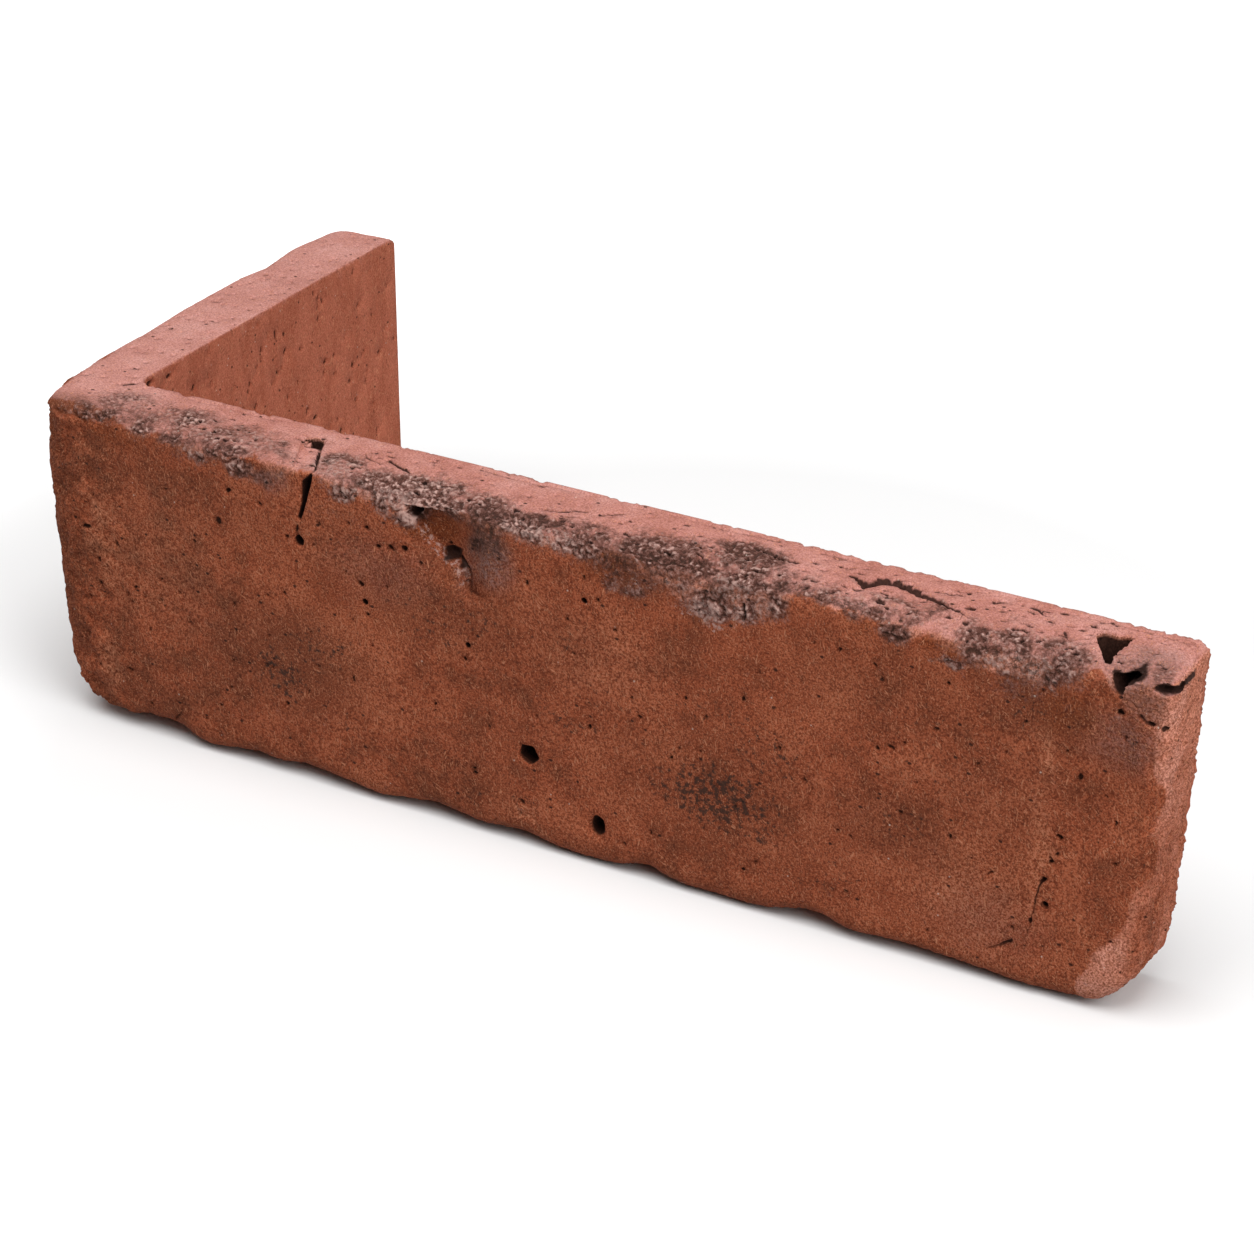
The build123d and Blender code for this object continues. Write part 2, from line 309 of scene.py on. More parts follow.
onFace = smooth(-4, 0, x - y) * smooth(0.5, 2.0, fromBack) * smooth(0.5, 2.0, fromEnd)
onFace *= np.maximum(smooth(4.5, 2.5, y), smooth(54, 57, z))
zones = {name: stain(jitterX, jitterZ, spots) * onFace for name, spots in stains.items()}
print("stains laid")

# Crust of lime and soot crumbs along the upper arris, higher up near the corner
crust = np.maximum(zones["lime"], zones["soot"]) * smooth(53, 57, unrolled - 7 * smooth(45, 25, x))
crust = np.clip(1.25 * crust + 0.35 * shoulder * onFace, 0, 1)
crust = crust * (0.45 + 0.55 * smooth(-0.35, 0.25, patchy))
zones["crust"] = crust

# Rough places, 1 inside and 0 elsewhere
lowerEdge = smooth(8, 2, z) * smooth(8, 3, fromOuter)
corner = smooth(30, 8, x) * smooth(26, 8, y) * smooth(4, 1, fromOuter)
endRough = smooth(4, 0.5, fromEnd)
roughPlaces = {"crust": crust, "lowerEdge": lowerEdge, "corner": corner, "end": endRough}
bed = np.clip(smooth(0.9, 0.2, fromTop) + smooth(0.9, 0.2, z), 0, 1)
# less crumble on the sawn backs and by the clefts
calm = np.maximum(1 - 0.9 * smooth(1.2, 0.3, fromBack), smooth(1.6, 0.2, fromEnd)) * (1 - 0.6 * crisp)

# Weathering in mm: crumbs and humps go a little way in everywhere, and further in the rough places
wear = {
    "crumbs": {"all": 0.06, "crust": 0.70, "lowerEdge": 0.20, "corner": 0.40, "end": 0.50},
    "humps": {"all": 0.03, "crust": 0.30, "lowerEdge": 0.08, "corner": 0.60, "end": 0.55},
    "sawnChips": 0.7,  # deepest chip along a sawn arris
    "swell": 0.20,  # slow waves of the faces
    "crease": 0.4,  # upright crease near the free end
    "cornerTop": 2.3,  # the corner's upper end, rubbed well round
    "broadLumps": 0.9,  # hollows between the corner's lumps
    "smallLumps": 0.5,
    "lowerLip": 0.55,  # the lower lip and the free end stand out
    "endLip": 0.5,
    "dragMarks": 0.55,  # upright, on the free end
    "folds": {"depth": 0.22, "spacing": 1.7, "middle": (220, 73)},  # curved drag folds on the lump
}


def depthOf(kind):
    depth = wear[kind]["all"]
    for name, share in roughPlaces.items():
        depth = depth + wear[kind][name] * share
    return depth


inset = calm * np.clip(0.75 - creases, 0, 0.75) * depthOf("crumbs")
inset += calm * np.clip(0.45 - 0.9 * grainMid, 0, 1.2) * depthOf("humps")
chips = np.clip(0.03 + 0.3 * grainBig + 0.3 * grainMid + 0.25 * grainSmall, 0, wear["sawnChips"])
inset += smooth(1.4, 0.1, np.maximum(fromBack, np.minimum(fromTop, z))) * chips
inset += (0.15 + wear["swell"] * swell + 0.10 * grainBig) * calm * (1 - 0.7 * bed)
crease = wear["crease"] * smooth(207.5, 209.5, x) * smooth(52, 46, z)
inset += crease * smooth(1.5, 0.5, y) * smooth(222, 214, x)
inset += wear["cornerTop"] * smooth(11, 0, x - lean + y) * smooth(48, 63, z)
broadLumps = wear["broadLumps"] * corner * np.clip(0.35 - grainBig, 0, 1.1)
inset += broadLumps + wear["smallLumps"] * corner * np.clip(0.3 - grainMid, 0, 1.0)
lowerLip = wear["lowerLip"] * smooth(7, 2, z) * smooth(5, 1, y) * onStretcher
inset -= lowerLip + wear["endLip"] * endRough * (1 - crisp)
freeEnd = fromEnd < 5
streaks = fractal(points[freeEnd] * (1, 1, 0.22), 1.5, 3, 9)
inset[freeEnd] += wear["dragMarks"] * endRough[freeEnd] * calm[freeEnd] * np.clip(0.3 - streaks, 0, 1)
onLump = (lump > 0.05) & (fromTop < 9)
folds = wear["folds"]
rings = np.hypot(x[onLump] - folds["middle"][0], 1.6 * (unrolled[onLump] - folds["middle"][1]))
rings = rings / folds["spacing"] + 1.2 * grainMid[onLump]
inset[onLump] += folds["depth"] * lump[onLump] * (0.5 + 0.5 * np.sin(2 * math.pi * rings))
moved = points - normals * inset[:, None]
print("arrises and faces weathered, deepest", round(float(inset.max()), 2), "mm")


def pathDistance(a, b, path):
    # distance from each point to a bent line, how far along it the nearest place is, and its side
    nearest = np.full(len(a), 1e9)
    share = np.zeros(len(a))
    side = np.zeros(len(a))
    runs = len(path) - 1
    for index, (start, end) in enumerate(zip(path[:-1], path[1:])):
        da, db = end[0] - start[0], end[1] - start[1]
        t = np.clip(((a - start[0]) * da + (b - start[1]) * db) / (da * da + db * db), 0, 1)
        gap = np.hypot(a - start[0] - t * da, b - start[1] - t * db)
        closer = gap < nearest
        nearest[closer] = gap[closer]
        share[closer] = (index + t[closer]) / runs
        side[closer] = np.sign(da * (b - start[1]) - db * (a - start[0]))[closer]
    return nearest, share, side


def carveGrooves(a, b, grooves):
    # each groove is widest at its first point and closes towards its last
    depth = np.zeros(len(a))
    for width, deepest, path in grooves:
        gap, share, _ = pathDistance(a, b, path)
        half = width / 2 * (1 - 0.6 * share)
        depth = np.maximum(depth, deepest * (1 - 0.5 * share) * smooth(half + 0.15, half * 0.5, gap))
    return depth


def carvePits(a, b, pits):
    # each pit: its middle, length, width, tilt and depth
    depth = np.zeros(len(a))
    for middleA, middleB, long, wide, tilt, deepest in pits:
        near = (np.abs(a - middleA) < long + wide) & (np.abs(b - middleB) < long + wide)
        da, db = a[near] - middleA, b[near] - middleB
        u = da * math.cos(tilt) + db * math.sin(tilt)
        v = db * math.cos(tilt) - da * math.sin(tilt)
        reach = np.hypot(u / (long / 2 + 0.15), v / (wide / 2 + 0.15))
        depth[near] = np.maximum(depth[near], deepest * smooth(1.15, 0.55, reach))
    return depth


def scatterPits(seed, count, spanA, spanB, long, wide, deep, tilt):
    # seed and count, then the least and most of each value
    draw = np.random.default_rng(seed)
    low = (spanA[0], spanB[0], long[0], wide[0], tilt[0], deep[0])
    high = (spanA[1], spanB[1], long[1], wide[1], tilt[1], deep[1])
    return draw.uniform(low, high, (count, 6)).tolist()


# Stretcher face: pores, cracks and the rust hollow, in x and z
face = {
    "pores": [
        (77.1, 55.7, 0.8, 0.7, 0.0, 1.0), (79.6, 52.8, 1.2, 0.4, 0.1, 0.8),
        (82.4, 53.0, 1.1, 0.8, 0.2, 1.3), (85.0, 53.5, 1.1, 0.6, 0.4, 1.1),
        (75.3, 44.3, 1.1, 0.8, -0.3, 1.2), (44.5, 49.5, 1.6, 1.3, 1.2, 0.6),
        (47.3, 56.3, 0.9, 0.7, 0.2, 0.9), (86.5, 60.5, 1.5, 1.0, -0.6, 1.2),
        (13.5, 41.0, 2.0, 0.7, 0.2, 0.9), (20.5, 39.0, 1.1, 0.7, 1.2, 0.8),
        (16.0, 34.5, 1.2, 0.6, -0.7, 0.7), (122.8, 28.0, 0.7, 0.7, 0.0, 0.8),
        (211.7, 31.4, 1.3, 0.7, -0.2, 1.1), (211.5, 28.0, 0.6, 0.5, 0.0, 0.7),
        (210.5, 26.4, 1.0, 0.5, 0.3, 0.9), (209.2, 22.6, 1.5, 0.6, 0.8, 1.1),
        (207.5, 14.2, 0.9, 0.6, 1.3, 0.8), (220.8, 57.3, 1.1, 0.8, 0.2, 1.0),
        (226.0, 56.4, 1.2, 0.7, -0.3, 1.0), (228.0, 55.4, 1.0, 0.6, 0.3, 0.8),
        (190.8, 54.6, 0.7, 0.5, 0.9, 0.7), (64.0, 31.5, 1.2, 0.6, 1.0, 0.4),
        (65.5, 25.0, 1.3, 0.6, -0.5, 0.4), (98.8, 12.0, 0.7, 0.5, 0.3, 0.6),
        (153.0, 41.5, 0.7, 0.5, 0.7, 0.6), (214.3, 43.0, 1.6, 0.6, 1.3, 0.6),
        (181.0, 40.0, 1.6, 0.6, -0.3, 0.5), (189.0, 45.6, 1.2, 0.6, 0.2, 0.5),
        (108.8, 8.8, 1.4, 0.7, -0.5, 0.5), (160.0, 34.0, 0.8, 0.6, 0.0, 0.5),
    ],
    "cracks": [
        (0.45, 0.6, [(209.2, 23.0), (208.2, 18.5), (207.6, 14.0), (206.4, 9.5)]),
        (0.7, 0.6, [(204.4, 9.4), (202.2, 7.6), (200.0, 6.4)]),
        (0.6, 0.6, [(152.6, 59.4), (153.0, 57.4), (152.4, 56.0)]),
        (0.5, 0.8, [(62.3, 52.6), (62.0, 51.6), (62.3, 50.6)]),
        (0.7, 0.7, [(95.0, 53.0), (96.8, 51.4), (97.6, 49.6)]),
        (0.5, 0.5, [(224.0, 57.6), (225.0, 56.6), (226.6, 56.3), (228.6, 55.2)]),
        (0.4, 0.5, [(31.5, 4.5), (33.5, 7.0), (34.0, 10.5)]),
    ],
    "vein": [(107.0, 8.8), (107.9, 5.9), (111.0, 6.4), (111.9, 4.8), (113.8, 2.9)],  # lime vein
    # the hollow lies above and to the right of this edge, and below the crumbs of the arris
    "hollow": {
        "edge": [(84.6, 62.4), (85.6, 59.8), (89.0, 55.4), (90.9, 54.3), (92.3, 52.9), (95.8, 51.9),
                 (96.9, 49.5)],
        "depth": 2.6,
        "roof": 61.8,
        "end": 104,
    },
    "scatter": (11, 150, (6, 226), (6, 58), (0.35, 0.9), (0.3, 0.55), (0.3, 0.7), (-1.5, 1.5)),
}
frontish = onStretcher & (sharpNormals[:, 1] < -0.35) & (y < 4.5)
fx = x[frontish] + 0.3 * grainMid[frontish]
fz = z[frontish] + 0.3 * grainSmall[frontish]
faceDepth = np.maximum(carvePits(fx, fz, face["pores"]), carvePits(fx, fz, scatterPits(*face["scatter"])))
faceDepth = np.maximum(faceDepth, carveGrooves(fx, fz, face["cracks"]))
moved[frontish, 1] += faceDepth
hollow = face["hollow"]
nearHollow = onStretcher & (y < 5) & (x > 80) & (x < hollow["end"] + 2)
nearHollow &= (z > 47) & (z < hollow["roof"] + 2)
hx = x[nearHollow] + 0.3 * grainMid[nearHollow]
hz = z[nearHollow] + 0.3 * grainSmall[nearHollow]
hollowGap, _, hollowSide = pathDistance(hx, hz, hollow["edge"])
underRoof = smooth(hollow["roof"] + 0.5, hollow["roof"] - 0.5, hz)
hollowShare = smooth(0.0, 0.4, hollowGap * hollowSide) * underRoof
hollowShare *= smooth(11, 4, hollowGap) * smooth(hollow["end"], hollow["end"] - 8, hx)
moved[nearHollow, 1] += hollow["depth"] * hollowShare * (1 - y[nearHollow] / 5)  # the cavity's floor stays
vein = smooth(0.55, 0.15, pathDistance(fx, fz, face["vein"])[0])
moved[frontish, 1] += 0.2 * vein
print("stretcher face carved")

# Upper bed: drag cracks, the lifted flake, the saw lip and drag pits, in x and y
topBed = {
    "cracks": [
        (1.0, 1.0, [(76.0, 10.0), (78.0, 9.2), (80.0, 8.3), (82.2, 7.6)]),
        (0.6, 0.7, [(75.6, 8.0), (72.5, 8.6), (70.5, 10.2)]),
        (0.9, 0.9, [(117.5, 8.7), (115.5, 8.2), (113.0, 7.0), (110.0, 6.3)]),
        (0.8, 0.9, [(123.3, 11.2), (121.5, 9.8), (119.0, 8.6)]),
        (0.7, 0.8, [(158.5, 9.3), (155.0, 9.7), (152.0, 10.3), (148.5, 11.2)]),
        (1.2, 2.0, [(171.4, 8.4), (170.0, 8.4), (168.2, 8.8)]),
        (1.3, 2.2, [(171.4, 7.9), (172.6, 9.6), (174.0, 10.8), (176.2, 11.0), (178.6, 10.2), (181.0, 9.2)]),
        (0.6, 1.0, [(180.6, 9.3), (184.0, 8.4), (187.6, 7.4), (191.5, 5.6)]),
        (1.1, 1.8, [(61.2, 10.6), (59.6, 10.2), (57.8, 9.6), (56.0, 9.8)]),
        (0.8, 1.2, [(61.9, 9.0), (63.3, 6.2), (64.6, 3.7), (65.6, 1.6)]),
        (0.8, 0.8, [(200.5, 13.2), (201.6, 12.0), (203.4, 11.4)]),
        (0.6, 0.6, [(207.0, 8.4), (208.0, 7.0), (209.2, 5.8)]),
        (0.5, 0.5, [(223.5, 11.4), (226.0, 11.8), (228.4, 11.0)]),
    ],
    "lip": [
        (0.6, 0.6, [(92.0, 14.7), (98.0, 14.4), (106.0, 14.6), (116.0, 14.9)]),
        (0.6, 0.5, [(152.0, 14.7), (144.0, 14.5), (137.0, 14.8), (130.0, 14.8)]),
        (0.6, 0.5, [(160.0, 14.4), (165.0, 14.7), (170.0, 14.6)]),
        (0.5, 0.5, [(228.0, 14.0), (216.0, 14.5), (204.0, 14.3), (186.0, 14.8)]),
        (0.5, 0.5, [(50.0, 14.6), (40.0, 14.3), (30.0, 14.7)]),
        (1.2, 1.2, [(15.6, 15.4), (14.0, 14.2), (12.6, 13.6)]),
    ],
    "flake": {"step": 0.75, "x": (167.5, 171.4, 174.0, 176.2, 180.6, 187.6, 192.0),
              "y": (8.2, 7.9, 10.8, 11.0, 9.3, 7.4, 5.4)},  # lower in front of this line
    "stretcherPits": (21, 190, (18, 226), (3, 15.0), (0.6, 1.7), (0.3, 0.6), (0.4, 0.9), (-0.4, 0.4)),
    "rightPits": (23, 54, (160, 213), (4, 14.5), (0.8, 2.0), (0.45, 0.75), (0.7, 1.1), (-0.3, 0.3)),
    "headerPits": (22, 95, (2, 15.0), (10, 102), (0.7, 1.7), (0.35, 0.65), (0.4, 0.9), (-0.5, 0.5)),
}
topish = (sharpNormals[:, 2] > 0.45) & (fromTop < 9)
tx = x[topish] + 0.3 * grainMid[topish]
ty = y[topish] + 0.25 * grainSmall[topish] + 0.3 * grainBig[topish]
topPits = [pit for name in ("stretcherPits", "rightPits", "headerPits") for pit in scatterPits(*topBed[name])]
topDepth = carvePits(tx, ty, topPits)
topDepth = np.maximum(topDepth, carveGrooves(tx, ty, topBed["cracks"] + topBed["lip"]))
flake = topBed["flake"]
inFront = np.interp(tx, flake["x"], flake["y"]) - ty
flakeShare = smooth(0.0, 0.3, inFront) * smooth(6.0, 2.5, inFront) * smooth(168, 171, tx)
flakeShare *= smooth(191, 180, tx)
moved[topish, 2] -= topDepth + flake["step"] * flakeShare
print("upper bed carved")

# Header face: scattered pores, in y and z
headerFace = {"pores": (41, 90, (8, 100), (6, 58), (0.5, 1.4), (0.35, 0.8), (0.4, 1.0), (-1.5, 1.5))}
headFront = ~onStretcher & (sharpNormals[:, 0] < -0.35) & (fromOuter < 4.5)
headPores = carvePits(y[headFront], z[headFront], scatterPits(*headerFace["pores"]))
moved[headFront, 0] += headPores
print("header face carved")

# Sawn backs: upright drag pits; y and z on the header's back, x and z on the stretcher's back
backs = {
    "headerPits": [
        (77.3, 46.8, 1.2, 0.9, 0.6, 1.4), (87.0, 42.5, 1.5, 0.7, 1.5, 1.2), (96.8, 41.7, 1.5, 0.8, 1.3, 1.2),
        (85.8, 39.3, 1.1, 0.8, 1.5, 0.8), (73.0, 36.0, 1.6, 0.8, 0.2, 0.8), (51.2, 51.5, 1.1, 0.6, 1.5, 0.7),
        (60.5, 59.0, 1.4, 0.6, 1.4, 0.7), (63.5, 54.0, 1.5, 0.7, 0.9, 0.7), (33.0, 57.5, 1.5, 0.7, 1.2, 0.8),
        (19.5, 63.2, 2.6, 1.0, 0.2, 1.3), (22.0, 60.8, 1.6, 0.9, 0.6, 1.0), (25.5, 62.6, 1.4, 0.8, 0.1, 0.9),
    ],
    "headerScatter": (31, 130, (18, 103), (2, 63), (0.6, 1.6), (0.35, 0.6), (0.3, 0.8), (1.2, 1.9)),
    "stretcherScatter": (32, 240, (18, 227), (2, 63), (0.6, 1.6), (0.35, 0.6), (0.3, 0.8), (1.2, 1.9)),
}
headBack = (sharpNormals[:, 0] > 0.6) & (y > brick["thickness"] + 2) & (x > 12)
headDepth = carvePits(y[headBack], z[headBack], backs["headerPits"] + scatterPits(*backs["headerScatter"]))
moved[headBack, 0] -= headDepth
longBack = (sharpNormals[:, 1] > 0.6) & (x > brick["thickness"] + 2) & (y > 12)
longDepth = carvePits(x[longBack], z[longBack], scatterPits(*backs["stretcherScatter"]))
moved[longBack, 1] -= longDepth
print("sawn backs carved")

# Clefts and blow holes get painted shade from the rim down: x and z on the face, x and y on the bed
clefts = {
    "face": [
        [(63.8, 62.0), (66.2, 64.2), (66.0, 62.4), (64.8, 58.5), (63.5, 54.7), (62.1, 51.8), (62.6, 54.4)],
        [(218.7, 63.8), (220.4, 63.5), (222.9, 64.6), (223.8, 64.1), (222.2, 62.5), (221.2, 62.3),
         (220.7, 60.2), (221.7, 58.1), (219.3, 60.9)],
        [(92.0, 54.1), (94.9, 54.4), (94.5, 52.9), (92.8, 52.8)],
        [(225.0, 62.9), (226.4, 63.3), (229.5, 63.0), (233.0, 63.4), (233.0, 62.4), (229.5, 62.0),
         (226.8, 62.4)],
    ],
    "bed": [
        [(56.5, 9.4), (57.5, 10.2), (58.5, 11.2), (60.0, 12.0), (61.4, 11.3), (61.6, 9.4), (59.2, 10.1)],
        [(212.3, 9.3), (212.8, 11.2), (215.6, 10.9), (218.2, 12.3), (217.3, 4.6), (217.8, 2.4),
         (216.8, 2.5), (214.2, 6.2)],
    ],
    "holes": [
        (110.2, 18.9, 4.4, 4.2), (124.2, 8.1, 3.4, 5.0), (62.5, 49.8, 2.4, 2.6),
        (121.8, 52.4, 1.4, 1.3), (98.0, 37.7, 1.3, 1.2), (76.2, 40.8, 1.4, 1.3), (209.9, 17.9, 1.2, 1.4),
    ],
}


def insideOutline(a, b, outline):
    # 1 inside the outline, and fading out within a short way of it
    inside = np.zeros(len(a), bool)
    for (startA, startB), (endA, endB) in zip(outline, outline[1:] + outline[:1]):
        crosses = (startB > b) != (endB > b)
        rise = endB - startB if endB != startB else 1e-9
        inside ^= crosses & (a < startA + (b - startB) * (endA - startA) / rise)
    return np.where(inside, 1.0, smooth(0.4, 0.1, pathDistance(a, b, outline + outline[:1])[0]))


cleft = np.zeros(len(points))
for outline in clefts["face"]:
    share = insideOutline(x, z, outline) * smooth(0.6, 1.3, y) * smooth(10, 9, y)
    cleft = np.maximum(cleft, share)
for outline in clefts["bed"]:
    share = insideOutline(x, y, outline) * smooth(0.4, 1.0, fromTop) * smooth(11, 10, fromTop)
    cleft = np.maximum(cleft, share)
for middleX, middleZ, wide, tall in clefts["holes"]:
    reach = np.hypot((x - middleX) / (wide / 2), (z - middleZ) / (tall / 2))
    cleft = np.maximum(cleft, smooth(1.25, 1.0, reach) * smooth(0.7, 1.4, y) * smooth(10, 9, y))
print("clefts found")

# Zones that the finish is painted by, one value for each point

# Sanded skin: off where the shoulder, the free end, the foot or the lump has broken
skinEdge = {"z": (5, 12, 20, 30, 42, 49, 56, 65), "fromEnd": (10.0, 6.5, 3.0, 0.5, 0.5, 1.5, 3.5, 6.0)}
skinEnd = np.interp(z, skinEdge["z"], skinEdge["fromEnd"])
skin = smooth(5.0, 2.2, fromOuter + 0.8 * grainMid) * smooth(-2.0, 2.0, belowEdge)
skin *= smooth(-1.5, 1.5, fromEnd - skinEnd + 1.8 * grainBig) * (1 - lump)
skin *= smooth(-0.5, 1.5, z + 0.8 * grainMid)
zones["skin"] = skin
zones["sawn"] = smooth(1.5, 0.5, fromBack)
zones["cleft"] = cleft
zones["chalk"] = smooth(45, 5, along) * smooth(0.6, 0.9, normals[:, 2])  # paler bed on the header
# darker along the lower edge: painted shade under the lower lip, laid in with the scorch
zones["scorch"] = np.maximum(zones["scorch"], 0.4 * lowerEdge)
zones["bed"] = smooth(0.25, 0.80, normals[:, 2]) + 0.4 * smooth(0.5, 0.9, -normals[:, 2])
zones["end"] = endRough * (1 - zones["sawn"]) * smooth(58, 18, z)
pitted = np.zeros(len(points))
pitted[frontish] = faceDepth
pitted[topish] = np.maximum(pitted[topish], topDepth)
pitted[headFront] = headPores
pitted[headBack] = headDepth
pitted[longBack] = longDepth
# pit depth; the finish turns it into painted shade
zones["pitted"] = pitted / 0.7
zones["dust"][frontish] = np.maximum(zones["dust"][frontish], vein)
limeRim = 0.8 * smooth(0.9, 0.3, hollowGap) * smooth(60, 57, hz)  # lime crumbs along the hollow's edge
zones["lime"][nearHollow] = np.maximum(zones["lime"][nearHollow], limeRim)
# how far each point stands out; on the crust it sets painted shade in the gaps and a painted highlight on the
# crests
standsOut = np.sum((moved - soften(moved, edges, 16)) * normals, axis=1)
zones["relief"] = np.clip(0.5 + 1.6 * standsOut, 0, 1)

# Crumbs, clefts and the hollow keep all their points when the slip is thinned
kept = (crust > 0.4) | (cleft > 0.05) | ((nearBreak > 0.5) & (y < 12))
kept[nearHollow] |= (hollowShare > 0.05) | (hollowGap < 0.6)
kept[topish] |= topDepth > 0.12
print("zones painted:", ", ".join(sorted(zones)))


def keepInBox(mesh):
    # nothing leaves the CAD box
    points = np.clip(readPoints(mesh)[0], 0, boxSize)
    mesh.vertices.foreach_set("co", (points * mm + np.array(cadBox[0])).astype(np.float32).ravel())
    mesh.update()


slip.data.vertices.foreach_set("co", (moved * mm + np.array(cadBox[0])).astype(np.float32).ravel())
for name, values in zones.items():
    layer = slip.data.attributes.new(name, "FLOAT", "POINT")
    layer.data.foreach_set("value", np.clip(values, 0, 1).astype(np.float32))
keepInBox(slip.data)


def thinOut(slip, triangles, kept):
    group = slip.vertex_groups.new(name="thinned")
    group.add(np.flatnonzero(~kept).tolist(), 1.0, "REPLACE")
    thinning = slip.modifiers.new("thinning", "DECIMATE")
    thinning.vertex_group = group.name
    thinning.ratio = triangles / sum(len(polygon.vertices) - 2 for polygon in slip.data.polygons)
    graph = bpy.context.evaluated_depsgraph_get()
    slip.data = bpy.data.meshes.new_from_object(slip.evaluated_get(graph))
    slip.modifiers.clear()
    slip.vertex_groups.clear()
    slip.data.shade_smooth()


thinOut(slip, blank["triangles"], kept)
keepInBox(slip.data)
triangleCount = sum(len(polygon.vertices) - 2 for polygon in slip.data.polygons)
print("slip thinned to", triangleCount, "triangles,", int(kept.sum()), "points kept")

# rays that measure how closed in each point is, for the painted shade in hollows
shadeRays = {"rays": 26, "reach": 5.0}  # how far a nearby wall counts, in mm


def closedIn(mesh):
    # share of the outlook that nearby clay blocks: 0 on an open face, near 1 down a hole
    tree = BVHTree.FromPolygons(
        [vertex.co for vertex in mesh.vertices], [tuple(polygon.vertices) for polygon in mesh.polygons]
    )
    golden = math.pi * (3 - math.sqrt(5))
    fan = []
    for index in range(shadeRays["rays"]):
        level = 1 - 2 * (index + 0.5) / shadeRays["rays"]
        ring = math.sqrt(1 - level * level)
        fan.append(Vector((ring * math.cos(golden * index), ring * math.sin(golden * index), level)))
    values = []
    for vertex in mesh.vertices:
        start = vertex.co + vertex.normal * 0.2 * mm
        seen = blocked = 0.0
        for ray in fan:
            slope = ray.dot(vertex.normal)
            if slope > 0.15:
                seen += slope
                if tree.ray_cast(start, ray, shadeRays["reach"] * mm)[0]:
                    blocked += slope
        values.append(blocked / max(seen, 0.01))
    return values


layer = slip.data.attributes.new("closed", "FLOAT", "POINT")
layer.data.foreach_set("value", closedIn(slip.data))
print("hollows found")

# Fired clay finish

clay = {
    # ramps: place on the noise, then the colour there
    "skin": [(0.36, (0.150, 0.039, 0.017)), (0.49, (0.255, 0.060, 0.025)), (0.62, (0.325, 0.086, 0.038))],
    "body": [(0.36, (0.360, 0.112, 0.063)), (0.50, (0.470, 0.163, 0.097)), (0.64, (0.540, 0.222, 0.152))],
    "bed": [(0.36, (0.340, 0.126, 0.097)), (0.50, (0.435, 0.180, 0.145)), (0.64, (0.495, 0.236, 0.200))],
    "sawn": [(0.36, (0.345, 0.092, 0.049)), (0.60, (0.415, 0.120, 0.068))],
    "grain": [(0.41, (0.52, 0.45, 0.42)), (0.50, (1.0, 1.0, 1.0)), (0.60, (1.42, 1.62, 1.80))],
    "chalk": (0.540, 0.268, 0.232),
    "lime": (0.480, 0.305, 0.262),
    "crumbPale": (0.305, 0.138, 0.108),
    "crumbDark": (0.138, 0.053, 0.038),
    "soot": (0.034, 0.018, 0.013),
    "scorch": (0.095, 0.028, 0.013),
    "ash": (0.150, 0.082, 0.070),
    "dust": (0.430, 0.155, 0.080),
    "rust": (0.165, 0.036, 0.010),
    "straw": (0.580, 0.240, 0.130),
    "sand": (0.620, 0.500, 0.420),
    # near black: painted shade in pores, and in pits, clefts and hollows
    "pore": (0.014, 0.005, 0.003),
    "roughness": (0.82, 0.97),
    "shine": 0.12,
    "grainDepth": 0.0002,
}


